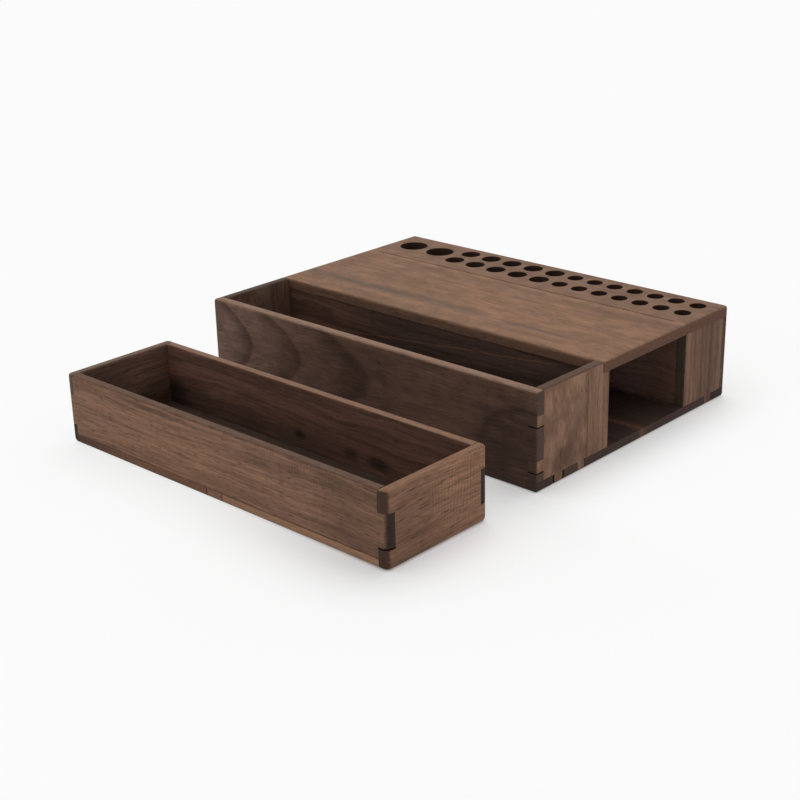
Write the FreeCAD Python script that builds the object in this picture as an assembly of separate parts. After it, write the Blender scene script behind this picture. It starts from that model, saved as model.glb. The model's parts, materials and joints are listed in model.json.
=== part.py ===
import FreeCAD, Part

import os

# Wooden pen stand with a drawer, in millimetres. X runs along its length, the front faces -Y and
# Z is up. The origin is the centre of the underside of the case. The drawer is drawn out of the
# case and stands on the table in front of it.

# Overall sizes of the case
CASE_LENGTH = 300.0
CASE_HEIGHT = 68.0

# Thickness of the boards of the case
WALL = 7.0              # front, rear and end boards
BOTTOM_THICKNESS = 7.0
TOP_THICKNESS = 7.5
PARTITION = 6.0         # the two walls inside the case

# Rooms of the case, from front to rear
TRAY_DEPTH = 63.0       # open tray, from the front board to its back wall
PEN_WELL_DEPTH = 40.3   # closed room under the pen holes
TOP_OVERHANG = 0.7      # the top board stands past the tray's back wall
WALL_SETBACK = 0.7      # the tunnel's rear wall stands back from the edge of the end board

# The drawer, and the room around it in its tunnel
DRAWER_DEPTH = 89.0
DRAWER_WALL = 7.0
DRAWER_BOTTOM = 6.5
SIDE_CLEARANCE = 0.5
END_CLEARANCE = 1.5
HEAD_CLEARANCE = 3.5

# Where the drawer stands on the table, off the front and to the right of the case's middle
DRAWER_STANDOFF = 47.7
DRAWER_SHIFT = 2.2

# Widths of the glued-up staves
NARROW_STAVE = 23.0     # the tray's end boards, next to the tunnel
FRONT_STAVE = 118.5     # the bottom board, at the front

# Finger joints: heights as shares of what stands on the bottom board, places along an edge as
# shares of the board's own width, and the slack beside each finger
CASE_PIN_SHARES = ((0.105, 0.238), (0.616, 0.738))
DRAWER_FINGER_SHARE = (0.28, 0.72)
WIDE_STAVE_TAB_SHARES = ((0.351, 0.506), (0.811, 0.943))
REAR_END_TAB_SHARES = ((0.345, 0.495),)
PIN_SLACK = 0.5
TAB_SLACK = 1.6         # beside the foremost tab
CLOSE_TAB_SLACK = 0.3   # beside the other tabs of the ends
FINGER_SLACK = 0.8
MIDDLE_TAB = 14.0       # tab in the middle of each long board, through the bottom board
MIDDLE_TAB_SLACK = 0.5
NOTCH_SLACK = 0.6       # between the top board's corner and the end board

# Pen holes: two rows alike, that begin with the large holes at the left
LARGE_HOLE = 22.0
MEDIUM_HOLE = 15.0
SMALL_HOLE = 12.0
LARGE_COUNT = 2
MEDIUM_COUNT = 5
HOLE_WEB = 5.85         # wood between two holes of a row
ROW_MARGIN = 9.0        # least wood at each end of a row
ROW_PITCH = 19.7
ROWS_FROM_REAR = 17.4   # from the rear board to the middle between the rows
HOLE_EASE = 0.35

# Groove in the top, in front of the holes
GROOVE_WIDTH = 0.8
GROOVE_DEPTH = 0.7

# Rounded and eased edges
CASE_CORNER = 3.5
CASE_EDGE = 2.2
DRAWER_CORNER = 5.0
DRAWER_TOP_EDGE = 2.5
DRAWER_FOOT_EDGE = 3.5
RIM_EASE = 0.8
OVERRUN = 5.0           # how far every cut runs past the wood

# Places worked out from the sizes above
TRAY_END = WALL + TRAY_DEPTH + PARTITION
TUNNEL_DEPTH = DRAWER_DEPTH + 2 * SIDE_CLEARANCE
REAR_END = WALL_SETBACK + PARTITION + PEN_WELL_DEPTH + WALL
CASE_DEPTH = TRAY_END + TUNNEL_DEPTH + REAR_END
FRONT_Y = -CASE_DEPTH / 2
REAR_Y = CASE_DEPTH / 2
TRAY_BACK_Y = FRONT_Y + WALL + TRAY_DEPTH
TOP_FRONT_Y = TRAY_BACK_Y - TOP_OVERHANG
TUNNEL_FRONT_Y = FRONT_Y + TRAY_END
TUNNEL_REAR_Y = TUNNEL_FRONT_Y + TUNNEL_DEPTH
REAR_WALL_Y = TUNNEL_REAR_Y + WALL_SETBACK
WELL_REAR_Y = REAR_Y - WALL
STAVE_SEAM_Y = FRONT_Y + FRONT_STAVE
END_SEAM_Y = TUNNEL_FRONT_Y - NARROW_STAVE
TOP_UNDERSIDE = CASE_HEIGHT - TOP_THICKNESS
HALF_LENGTH = CASE_LENGTH / 2
INNER_X = HALF_LENGTH - WALL

DRAWER_LENGTH = CASE_LENGTH - 2 * END_CLEARANCE
DRAWER_HEIGHT = TOP_UNDERSIDE - BOTTOM_THICKNESS - HEAD_CLEARANCE
DRAWER_LEFT = DRAWER_SHIFT - DRAWER_LENGTH / 2
DRAWER_RIGHT = DRAWER_SHIFT + DRAWER_LENGTH / 2
DRAWER_REAR_Y = FRONT_Y - DRAWER_STANDOFF
DRAWER_FRONT_Y = DRAWER_REAR_Y - DRAWER_DEPTH

SIDES = {"left": -1, "right": 1}


def box(x_range, y_range, z_range):
    """A box between two corners. Each range is a pair, in either order."""
    low = FreeCAD.Vector(min(x_range), min(y_range), min(z_range))
    high = FreeCAD.Vector(max(x_range), max(y_range), max(z_range))
    size = high - low
    return Part.makeBox(size.x, size.y, size.z, low)


def rounded_box(x_range, y_range, z_range, corner, top_edge, foot_edge):
    """A box with rounded edges: the upright ones, those round its top and those round its foot."""
    body = box(x_range, y_range, z_range)
    middle = (min(z_range) + max(z_range)) / 2
    upright = [line for line in body.Edges if line.BoundBox.ZMin < middle < line.BoundBox.ZMax]
    body = body.makeFillet(corner, upright)
    upper = [line for line in body.Edges if line.BoundBox.ZMin > middle]
    body = body.makeFillet(top_edge, upper)
    lower = [line for line in body.Edges if line.BoundBox.ZMax < middle]
    return body.makeFillet(foot_edge, lower)


def frustum(lower, upper, low_z, high_z):
    """A solid between two level rectangles, each given as (x range, y range)."""
    rings = []
    for (x_range, y_range), level in ((lower, low_z), (upper, high_z)):
        corners = [(x_range[0], y_range[0]), (x_range[1], y_range[0]),
                   (x_range[1], y_range[1]), (x_range[0], y_range[1])]
        rings.append([FreeCAD.Vector(x, y, level) for x, y in corners])
    low, high = rings
    outlines = [low, high]
    for here, after in zip(range(4), (1, 2, 3, 0)):
        outlines.append([low[here], low[after], high[after], high[here]])
    faces = [Part.Face(Part.makePolygon(points + points[:1])) for points in outlines]
    return Part.makeSolid(Part.makeShell(faces))


def rim_cutter(x_range, y_range, top, rear_ease):
    """The eased inner edge of an open box: a shallow flare at its rim."""
    low_x, high_x = x_range
    low_y, high_y = y_range
    upper = ((low_x - RIM_EASE, high_x + RIM_EASE), (low_y - RIM_EASE, high_y + rear_ease))
    return frustum((x_range, y_range), upper, top - RIM_EASE, top)


def share_to_height(share):
    """Height above the table of a share of what stands on the bottom board."""
    return BOTTOM_THICKNESS + share * (CASE_HEIGHT - BOTTOM_THICKNESS)


def case_envelope():
    """The outside of the whole case, which rounds the boards' outer edges."""
    return rounded_box((-HALF_LENGTH, HALF_LENGTH), (FRONT_Y, REAR_Y), (0, CASE_HEIGHT),
                       CASE_CORNER, CASE_EDGE, CASE_EDGE)


def drawer_envelope():
    """The outside of the whole drawer."""
    return rounded_box((DRAWER_LEFT, DRAWER_RIGHT), (DRAWER_FRONT_Y, DRAWER_REAR_Y),
                       (0, DRAWER_HEIGHT), DRAWER_CORNER, DRAWER_TOP_EDGE, DRAWER_FOOT_EDGE)


def pin_sockets(y_range):
    """Slots in both ends of a long board, for the pins of the end boards."""
    cuts = []
    for side in SIDES.values():
        for low_share, high_share in CASE_PIN_SHARES:
            heights = (share_to_height(low_share) - PIN_SLACK, share_to_height(high_share))
            cuts.append(box((side * INNER_X, side * (HALF_LENGTH + OVERRUN)), y_range, heights))
    return cuts


def long_board(y_range, top):
    """Front or rear board of the case, with pin sockets and a tab through the bottom."""
    board = box((-HALF_LENGTH, HALF_LENGTH), y_range, (BOTTOM_THICKNESS, top))
    over = (min(y_range) - OVERRUN, max(y_range) + OVERRUN)
    board = board.cut(pin_sockets(over))
    tab = box((-MIDDLE_TAB / 2, MIDDLE_TAB / 2), y_range, (0, BOTTOM_THICKNESS))
    return board.fuse(tab).removeSplitter()


def case_front_board():
    board = long_board((FRONT_Y, FRONT_Y + WALL), CASE_HEIGHT)
    return board.cut(tray_rim()).common(case_envelope())


def case_rear_board():
    return long_board((WELL_REAR_Y, REAR_Y), TOP_UNDERSIDE).common(case_envelope())


def tray_rim():
    """The eased upper edge of the tray, on its front and two ends."""
    return rim_cutter((-INNER_X, INNER_X), (FRONT_Y + WALL, TOP_FRONT_Y), CASE_HEIGHT, 0)


def tunnel_mouth(side):
    """The eased upright edges of the end boards where the drawer goes in."""
    depth = (TUNNEL_FRONT_Y, TUNNEL_REAR_Y)
    points = [(side * (HALF_LENGTH - RIM_EASE), depth[0]), (side * HALF_LENGTH, depth[0] - RIM_EASE),
              (side * HALF_LENGTH, depth[1] + RIM_EASE), (side * (HALF_LENGTH - RIM_EASE), depth[1])]
    corners = [FreeCAD.Vector(x, y, BOTTOM_THICKNESS) for x, y in points]
    face = Part.Face(Part.makePolygon(corners + corners[:1]))
    return face.extrude(FreeCAD.Vector(0, 0, TOP_UNDERSIDE - BOTTOM_THICKNESS))


def end_board(side, y_range, pin_y_range, top, tabs):
    """An end board: pins into a long board at one end, tabs down through the bottom."""
    thickness = (side * INNER_X, side * HALF_LENGTH)
    board = box(thickness, y_range, (BOTTOM_THICKNESS, top))
    pieces = []
    if pin_y_range:
        for low_share, high_share in CASE_PIN_SHARES:
            heights = (share_to_height(low_share), share_to_height(high_share))
            pieces.append(box(thickness, pin_y_range, heights))
    for tab in tabs:
        pieces.append(box(thickness, tab, (0, BOTTOM_THICKNESS)))
    if pieces:
        board = board.fuse(pieces).removeSplitter()
    return board.cut(tunnel_mouth(side))


def wide_stave_tabs():
    """Y ranges of the tabs of a tray end's wide stave."""
    width = END_SEAM_Y - FRONT_Y
    return [(FRONT_Y + low * width, FRONT_Y + high * width) for low, high in WIDE_STAVE_TAB_SHARES]


def rear_end_tabs():
    """Y ranges of the tabs of a rear end board, counted from the rear face."""
    return [(REAR_Y - high * REAR_END, REAR_Y - low * REAR_END) for low, high in REAR_END_TAB_SHARES]


def tray_end_wide_stave(side):
    inner = FRONT_Y + WALL
    board = end_board(side, (inner, END_SEAM_Y), (FRONT_Y, inner), CASE_HEIGHT, wide_stave_tabs())
    return board.cut(tray_rim()).common(case_envelope())


def tray_end_narrow_stave(side):
    """The stave beside the tunnel, notched where the top board's corner lies."""
    board = end_board(side, (END_SEAM_Y, TUNNEL_FRONT_Y), None, CASE_HEIGHT, [])
    notch = box((-HALF_LENGTH - OVERRUN, HALF_LENGTH + OVERRUN),
                (TOP_FRONT_Y - NOTCH_SLACK, TUNNEL_FRONT_Y + OVERRUN),
                (TOP_UNDERSIDE, CASE_HEIGHT + OVERRUN))
    return board.cut([notch, tray_rim()]).common(case_envelope())


def rear_end_board(side):
    board = end_board(side, (TUNNEL_REAR_Y, WELL_REAR_Y), (WELL_REAR_Y, REAR_Y), TOP_UNDERSIDE,
                      rear_end_tabs())
    return board.common(case_envelope())


def tab_slots():
    """Slots in the bottom board for the tabs of the boards that stand on it."""
    cuts = []
    heights = (-OVERRUN, BOTTOM_THICKNESS + OVERRUN)
    for side in SIDES.values():
        across = (side * INNER_X, side * (HALF_LENGTH + OVERRUN))
        tabs = wide_stave_tabs() + rear_end_tabs()
        slacks = [TAB_SLACK] + [CLOSE_TAB_SLACK] * (len(tabs) - 1)
        for (low, high), slack in zip(tabs, slacks):
            cuts.append(box(across, (low - slack, high + slack), heights))
    half = MIDDLE_TAB / 2 + MIDDLE_TAB_SLACK
    for outer, inner in ((FRONT_Y - OVERRUN, FRONT_Y + WALL), (WELL_REAR_Y, REAR_Y + OVERRUN)):
        cuts.append(box((-half, half), (outer, inner), heights))
    return cuts


def bottom_stave(y_range):
    board = box((-HALF_LENGTH, HALF_LENGTH), y_range, (0, BOTTOM_THICKNESS))
    return board.cut(tab_slots()).common(case_envelope())


def inner_wall(front_y):
    """A wall between two rooms of the case, from the bottom board to the top board."""
    return box((-INNER_X, INNER_X), (front_y, front_y + PARTITION), (BOTTOM_THICKNESS, TOP_UNDERSIDE))


def hole_row():
    """Diameters of the holes along a row, their X places and the row's length."""
    fixed = [LARGE_HOLE] * LARGE_COUNT + [MEDIUM_HOLE] * MEDIUM_COUNT
    room = CASE_LENGTH - 2 * ROW_MARGIN - sum(fixed) - (len(fixed) - 1) * HOLE_WEB
    small_count = max(int(room / (SMALL_HOLE + HOLE_WEB)), 0)
    diameters = fixed + [SMALL_HOLE] * small_count
    length = sum(diameters) + (len(diameters) - 1) * HOLE_WEB
    edge = -length / 2
    places = []
    for diameter in diameters:
        places.append(edge + diameter / 2)
        edge += diameter + HOLE_WEB
    return diameters, places, length


def hole_cutter(x, y, diameter):
    """One pen hole through the top board, with its rim eased."""
    radius = diameter / 2
    up = FreeCAD.Vector(0, 0, 1)
    foot = FreeCAD.Vector(x, y, TOP_UNDERSIDE - OVERRUN)
    hole = Part.makeCylinder(radius, TOP_THICKNESS + 2 * OVERRUN, foot, up)
    rim = Part.makeCone(radius, radius + HOLE_EASE, HOLE_EASE,
                        FreeCAD.Vector(x, y, CASE_HEIGHT - HOLE_EASE), up)
    return hole.fuse(rim)


def top_board():
    """The top: pen holes in two rows, a stopped groove in front of them, a rounded front edge."""
    board = box((-HALF_LENGTH, HALF_LENGTH), (TOP_FRONT_Y, REAR_Y), (TOP_UNDERSIDE, CASE_HEIGHT))
    front = [line for line in board.Edges if line.BoundBox.YMax < TOP_FRONT_Y + GROOVE_WIDTH
             and line.BoundBox.ZMin > TOP_UNDERSIDE + TOP_THICKNESS / 2]
    board = board.makeFillet(CASE_EDGE, front)
    diameters, places, length = hole_row()
    middle = WELL_REAR_Y - ROWS_FROM_REAR
    holes = list(zip(places, diameters))
    # The large holes stand one by one between the rows, the others in both rows.
    cuts = [hole_cutter(x, middle, diameter) for x, diameter in holes[:LARGE_COUNT]]
    for y in (middle - ROW_PITCH / 2, middle + ROW_PITCH / 2):
        cuts += [hole_cutter(x, y, diameter) for x, diameter in holes[LARGE_COUNT:]]
    cuts.append(box((-length / 2, length / 2),
                    (TUNNEL_REAR_Y - GROOVE_WIDTH / 2, TUNNEL_REAR_Y + GROOVE_WIDTH / 2),
                    (CASE_HEIGHT - GROOVE_DEPTH, CASE_HEIGHT + OVERRUN)))
    return board.cut(cuts).common(case_envelope())


def drawer_finger_heights():
    return [share * DRAWER_HEIGHT for share in DRAWER_FINGER_SHARE]


def drawer_rim():
    """The eased inner upper edge of the drawer."""
    return rim_cutter((DRAWER_LEFT + DRAWER_WALL, DRAWER_RIGHT - DRAWER_WALL),
                      (DRAWER_FRONT_Y + DRAWER_WALL, DRAWER_REAR_Y - DRAWER_WALL),
                      DRAWER_HEIGHT, RIM_EASE)


def drawer_long_board(y_range):
    """Front or rear board of the drawer: a finger at each end, a tab through the bottom."""
    low, high = drawer_finger_heights()
    between = (DRAWER_LEFT + DRAWER_WALL, DRAWER_RIGHT - DRAWER_WALL)
    board = box(between, y_range, (DRAWER_BOTTOM, DRAWER_HEIGHT))
    fingers = box((DRAWER_LEFT, DRAWER_RIGHT), y_range, (low, high))
    tab = box((DRAWER_SHIFT - MIDDLE_TAB / 2, DRAWER_SHIFT + MIDDLE_TAB / 2), y_range,
              (0, DRAWER_BOTTOM))
    board = board.fuse([fingers, tab]).removeSplitter()
    return board.cut(drawer_rim()).common(drawer_envelope())


def drawer_end(side):
    """End board of the drawer, notched at both edges for the long boards' fingers."""
    outer = DRAWER_RIGHT if side > 0 else DRAWER_LEFT
    thickness = (outer, outer - side * DRAWER_WALL)
    board = box(thickness, (DRAWER_FRONT_Y, DRAWER_REAR_Y), (0, DRAWER_HEIGHT))
    low, high = drawer_finger_heights()
    over = (outer + side * OVERRUN, outer - side * (DRAWER_WALL + OVERRUN))
    cuts = [box(over, (DRAWER_FRONT_Y - OVERRUN, DRAWER_FRONT_Y + DRAWER_WALL), (low - FINGER_SLACK, high)),
            box(over, (DRAWER_REAR_Y - DRAWER_WALL, DRAWER_REAR_Y + OVERRUN), (low - FINGER_SLACK, high)),
            drawer_rim()]
    return board.cut(cuts).common(drawer_envelope())


def drawer_bottom():
    """Bottom of the drawer, flush with its long faces and slotted for their tabs."""
    board = box((DRAWER_LEFT + DRAWER_WALL, DRAWER_RIGHT - DRAWER_WALL),
                (DRAWER_FRONT_Y, DRAWER_REAR_Y), (0, DRAWER_BOTTOM))
    half = MIDDLE_TAB / 2 + MIDDLE_TAB_SLACK
    across = (DRAWER_SHIFT - half, DRAWER_SHIFT + half)
    heights = (-OVERRUN, DRAWER_BOTTOM + OVERRUN)
    slots = [box(across, (DRAWER_FRONT_Y - OVERRUN, DRAWER_FRONT_Y + DRAWER_WALL), heights),
             box(across, (DRAWER_REAR_Y - DRAWER_WALL, DRAWER_REAR_Y + OVERRUN), heights)]
    return board.cut(slots).common(drawer_envelope())


def build():
    """Every board of the pen stand, by its name."""
    nodes = {
        "case_front_board": case_front_board(),
        "case_rear_board": case_rear_board(),
        "bottom_front_stave": bottom_stave((FRONT_Y, STAVE_SEAM_Y)),
        "bottom_rear_stave": bottom_stave((STAVE_SEAM_Y, REAR_Y)),
        "tray_back_wall": inner_wall(TRAY_BACK_Y),
        "tunnel_rear_wall": inner_wall(REAR_WALL_Y),
        "top_board": top_board(),
        "drawer_front_board": drawer_long_board((DRAWER_FRONT_Y, DRAWER_FRONT_Y + DRAWER_WALL)),
        "drawer_rear_board": drawer_long_board((DRAWER_REAR_Y - DRAWER_WALL, DRAWER_REAR_Y)),
        "drawer_bottom": drawer_bottom(),
    }
    for name, side in SIDES.items():
        nodes[name + "_tray_end_wide_stave"] = tray_end_wide_stave(side)
        nodes[name + "_tray_end_narrow_stave"] = tray_end_narrow_stave(side)
        nodes[name + "_rear_end_board"] = rear_end_board(side)
        nodes["drawer_" + name + "_end"] = drawer_end(side)
    return nodes


def export(nodes):
    """Write one STEP file per board and print what it measures."""
    os.makedirs("parts", exist_ok=True)
    for name, shape in sorted(nodes.items()):
        if len(shape.Solids) != 1 or not shape.isValid():
            raise ValueError(name + " is not one valid solid")
        shape.Solids[0].exportStep("parts/" + name + ".step")
        bounds = shape.BoundBox
        print("%-30s %8.1f mm3  X %7.1f %7.1f  Y %7.1f %7.1f  Z %5.1f %5.1f" % (
            name, shape.Volume, bounds.XMin, bounds.XMax, bounds.YMin, bounds.YMax,
            bounds.ZMin, bounds.ZMax))


export(build())
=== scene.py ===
"""Looks of a walnut pen stand and its drawer: modelled boards, wood finishes and a plain studio."""
import json
import logging
import math
from collections.abc import Callable, Iterator, Sequence
from dataclasses import dataclass, field, fields, replace
from enum import Enum
from functools import cache
from typing import Any

import bmesh
import bpy
from mathutils import Matrix, Vector


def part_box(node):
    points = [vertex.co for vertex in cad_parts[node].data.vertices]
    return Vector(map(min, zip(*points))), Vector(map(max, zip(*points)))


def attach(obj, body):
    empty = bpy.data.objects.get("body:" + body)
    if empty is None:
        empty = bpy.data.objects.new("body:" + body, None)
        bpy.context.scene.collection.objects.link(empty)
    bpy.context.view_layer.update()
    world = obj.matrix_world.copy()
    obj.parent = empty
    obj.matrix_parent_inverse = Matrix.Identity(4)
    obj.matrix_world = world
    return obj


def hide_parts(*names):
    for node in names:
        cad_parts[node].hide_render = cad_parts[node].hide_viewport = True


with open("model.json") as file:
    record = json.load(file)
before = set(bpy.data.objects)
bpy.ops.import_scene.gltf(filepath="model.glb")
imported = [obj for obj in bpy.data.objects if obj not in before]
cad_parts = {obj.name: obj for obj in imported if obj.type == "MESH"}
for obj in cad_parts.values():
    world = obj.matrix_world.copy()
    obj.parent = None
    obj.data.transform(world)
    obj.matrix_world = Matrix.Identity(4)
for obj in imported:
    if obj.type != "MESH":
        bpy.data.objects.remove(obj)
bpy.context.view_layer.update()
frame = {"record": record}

LOG = logging.getLogger("pen_stand")

MM = 0.001
TOUCH = 0.05 * MM       # two places this close are the same
MERGE = 0.01 * MM       # two points this close become one
FAR = 1.0               # further than any board reaches, for a span with an open end
FACING = 0.9            # how far a face's normal lies along the way that it looks, at least
FLAT_ANGLE = math.radians(1.0)
SMOOTH_ANGLE = math.radians(40.0)
SQUARE_ANGLE = math.radians(60.0)
EASE_SEGMENTS = 2       # faces across the easing of a small edge
WHITE = (1.0, 1.0, 1.0)

Colour = tuple[float, float, float]
Socket = bpy.types.NodeSocket
Span = tuple[float, float]


class Axis(Enum):
    """An axis of the frame, by its place in a vector."""

    X = 0
    Y = 1
    Z = 2

    @property
    def unit(self) -> Vector:
        """Unit vector along the axis."""
        return Vector([float(self.value == place) for place in range(3)])


class Side(Enum):
    """A side of a board: its axis and the direction that it looks in."""

    LEFT = (Axis.X, -1)
    RIGHT = (Axis.X, 1)
    FRONT = (Axis.Y, -1)
    REAR = (Axis.Y, 1)
    BOTTOM = (Axis.Z, -1)
    TOP = (Axis.Z, 1)

    @property
    def axis(self) -> Axis:
        """The axis that the side is square to."""
        return self.value[0]

    @property
    def sign(self) -> int:
        """1 if the side looks along its axis, -1 if it looks against it."""
        return self.value[1]

    @property
    def outward(self) -> Vector:
        """Unit vector out of the side."""
        return self.axis.unit * self.sign


ENDS = (Side.LEFT, Side.RIGHT)
LONG_SIDES = (Side.FRONT, Side.REAR)


class Lay(Enum):
    """How a board's figure lies: the sides that its two measures run towards, and its grain."""

    LONG = (Side.RIGHT, Side.BOTTOM, Axis.X)
    LONG_REAR = (Side.LEFT, Side.BOTTOM, Axis.X)
    FLAT = (Side.RIGHT, Side.FRONT, Axis.X)
    CASE_END = (Side.REAR, Side.BOTTOM, Axis.Z)
    DRAWER_END = (Side.REAR, Side.BOTTOM, Axis.Y)


# Shading


class Graph:
    """Short calls that fill one node tree."""

    def __init__(self, tree: bpy.types.NodeTree) -> None:
        """Keep the node tree to fill."""
        self.tree = tree

    @classmethod
    def of(cls, owner: bpy.types.Material | bpy.types.World) -> "Graph":
        """Switch on the nodes of a material or a world, and clear them.

        Args:
            owner: the material or world.

        Returns:
            The graph of its nodes.
        """
        owner.use_nodes = True
        owner.node_tree.nodes.clear()
        return cls(owner.node_tree)

    def node(self, kind: str, inputs: dict[Any, Any] | None = None, **settings: Any) -> bpy.types.Node:
        """Add a shader node.

        Args:
            kind: the node's type.
            inputs: values or sockets for its inputs, by name or number.
            settings: its properties.

        Returns:
            The new node.
        """
        made = self.tree.nodes.new("ShaderNode" + kind)
        for name, value in settings.items():
            setattr(made, name, value)
        for name, value in (inputs or {}).items():
            target = made.inputs[name]
            if isinstance(value, Socket):
                self.tree.links.new(value, target)
            else:
                target.default_value = (*value, 1.0) if target.type == "RGBA" else value
        return made

    def group(self, tree: bpy.types.NodeTree, inputs: dict[str, Any]) -> bpy.types.NodeOutputs:
        """Place a node group and give its outputs."""
        return self.node("Group", inputs, node_tree=tree).outputs

    def vector(self, *parts: Any) -> Socket:
        """Put a vector together."""
        return self.node("CombineXYZ", dict(enumerate(parts))).outputs[0]

    def parts(self, vector: Socket) -> bpy.types.NodeOutputs:
        """A vector's three numbers."""
        return self.node("SeparateXYZ", {0: vector}).outputs

    def math(self, operation: str, first: Any, second: Any = 0.0, third: Any = 0.0,
             clamp: bool = False) -> Socket:
        """Add a Math node and give its result, which clamp keeps between 0 and 1."""
        inputs = {0: first, 1: second, 2: third}
        return self.node("Math", inputs, operation=operation, use_clamp=clamp).outputs[0]

    def fade(self, value: Any, start: Any, end: Any, first: float = 0.0, last: float = 1.0) -> Socket:
        """Add a smooth step from the first result to the last, as a value goes from start to end."""
        inputs = {"Value": value, "From Min": start, "From Max": end, "To Min": first, "To Max": last}
        return self.node("MapRange", inputs, interpolation_type="SMOOTHSTEP").outputs[0]

    def noise(self, place: Socket, along: float, across: float, detail: float = 2.0,
              roughness: float = 0.5) -> Socket:
        """Add a noise texture.

        Args:
            place: its place.
            along: how fast it changes with the place's first number.
            across: how fast it changes with the other two.
            detail: how many finer layers it has.
            roughness: how strong the finer layers are.

        Returns:
            Its value, which lies about 0.5.
        """
        scaled = self.node("VectorMath", {0: place, 1: (along, across, across)}, operation="MULTIPLY")
        inputs = {"Vector": scaled.outputs[0], "Scale": 1.0, "Detail": detail, "Roughness": roughness}
        return self.node("TexNoise", inputs).outputs[0]

    def blend(self, factor: Any, first: Any, second: Any, mode: str = "MIX") -> Socket:
        """Blend two colours, with a colour Mix node whose factor is the share of the second."""
        inputs = {0: factor, 6: first, 7: second}
        return self.node("Mix", inputs, data_type="RGBA", blend_type=mode).outputs[2]


class Effect(Graph):
    """A shader node group in the making, with named inputs and outputs."""

    def __init__(self, name: str, numbers: Sequence[str], outputs: Sequence[str]) -> None:
        """Make the sockets and the group's two end nodes.

        Args:
            name: the group's name.
            numbers: names of its number inputs. A vector input named Place is always there.
            outputs: names of its number outputs.
        """
        super().__init__(bpy.data.node_groups.new(name, "ShaderNodeTree"))
        new_socket = self.tree.interface.new_socket
        new_socket("Place", in_out="INPUT", socket_type="NodeSocketVector")
        for number in numbers:
            new_socket(number, in_out="INPUT", socket_type="NodeSocketFloat")
        for output in outputs:
            new_socket(output, in_out="OUTPUT", socket_type="NodeSocketFloat")
        self.given = self.tree.nodes.new("NodeGroupInput").outputs
        self.result = self.tree.nodes.new("NodeGroupOutput").inputs

    def put(self, output: str, value: Socket) -> None:
        """Lead a value to one of the outputs."""
        self.tree.links.new(value, self.result[output])

    def sway(self, along: float, across: float, strength: str) -> Socket:
        """Noise about 0, as strong as one of the inputs says."""
        noise = self.noise(self.given["Place"], along, across, detail=3.0)
        return self.math("MULTIPLY", self.math("SUBTRACT", noise, 0.5), self.given[strength])


NOISE_SPAN = (0.3, 0.7)     # noise hardly leaves this span
SLOW_SWAY = (0.007, 0.02)   # changes along and across the grain for each mm
QUICK_SWAY = (0.03, 0.15)   # the same
SLOW_SHARE = 4.0            # how much further the slow sway goes
RING_LEAN = 0.6             # how far the rings lean, for each mm into the board
LATE_WOOD = (0.2, 0.85)     # where in a ring the wood darkens
RING_LINE = (0.9, 1.0)      # where in a ring it turns pale again
PORE_NOISE = (0.14, 2.2, 1.0)   # the same, and the noise's detail
PORE_SPAN = (0.56, 0.68)    # the noise's values between which a pore opens
FIBRE_HEIGHT = 0.6          # height of the fibres, as a share of the pores' depth
BAR_SWAY = (0.07, 0.07)     # changes across and down a face for each mm
BAR_SWING = 1.3             # how far that noise moves the bars, in spacings
BAR_NOISE = (0.16, 0.10)    # the same
BAR_SPAN = (0.38, 0.62)     # the noise's values between which the bars come in
FACE_SPAN = (0.35, 0.85)    # how far a normal lies along an axis, for a face to begin and to be full
ARCH_POWER = 1.6            # how the shade inside an arch falls off
STREAK_SWAY = (0.02, 0.05)  # changes across and down a face for each mm
PATCH_SWAY = (0.06, 0.25)   # the same
ARCH_SWAY = (0.03, 0.06)    # the same
WOOD_LAYERS = {             # changes along and across the grain for each mm, detail, roughness
    "Bands": (0.006, 0.10),
    "Lines": (0.014, 0.34, 3.0, 0.6),
    "Mottle": (0.06, 0.10, 4.0, 0.6),
    "Fibre": (0.04, 1.0, 4.0, 0.65)}


@cache
def fibre_effect() -> bpy.types.NodeTree:
    """The figure of plain wood, from broad bands to pores. The place is in mm, along the grain first.

    Returns:
        A group that puts out Bands, Lines, Mottle, Rings, Fibre, Pores and Height.
    """
    graph = Effect("wood_fibre", ("Seed", "Ring Width", "Wave"), (*WOOD_LAYERS, "Rings", "Pores", "Height"))
    given = graph.given
    seed = graph.vector(given["Seed"], given["Seed"])
    place = graph.node("VectorMath", {0: given["Place"], 1: seed}, operation="ADD").outputs[0]
    along, across, depth = graph.parts(place)
    slow, quick = graph.noise(place, *SLOW_SWAY), graph.noise(place, *QUICK_SWAY)
    swayed = graph.math("MULTIPLY_ADD", slow, graph.math("MULTIPLY", given["Wave"], SLOW_SHARE), across)
    swayed = graph.math("MULTIPLY_ADD", quick, given["Wave"], swayed)
    flow = graph.vector(along, swayed, depth)
    layers = {name: graph.noise(place if name == "Mottle" else flow, *sizes)
              for name, sizes in WOOD_LAYERS.items()}
    for name, layer in layers.items():
        graph.put(name, graph.fade(layer, *NOISE_SPAN))
    leant = graph.math("MULTIPLY_ADD", depth, RING_LEAN, swayed)
    turn = graph.math("FRACT", graph.math("DIVIDE", leant, given["Ring Width"]))
    late, early = graph.fade(turn, *LATE_WOOD), graph.fade(turn, *RING_LINE, 1.0, 0.0)
    graph.put("Rings", graph.math("MULTIPLY", late, early))
    pores = graph.fade(graph.noise(flow, *PORE_NOISE), *PORE_SPAN)
    graph.put("Pores", pores)
    graph.put("Height", graph.math("SUBTRACT", graph.math("MULTIPLY", layers["Fibre"], FIBRE_HEIGHT), pores))
    return graph.tree


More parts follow.
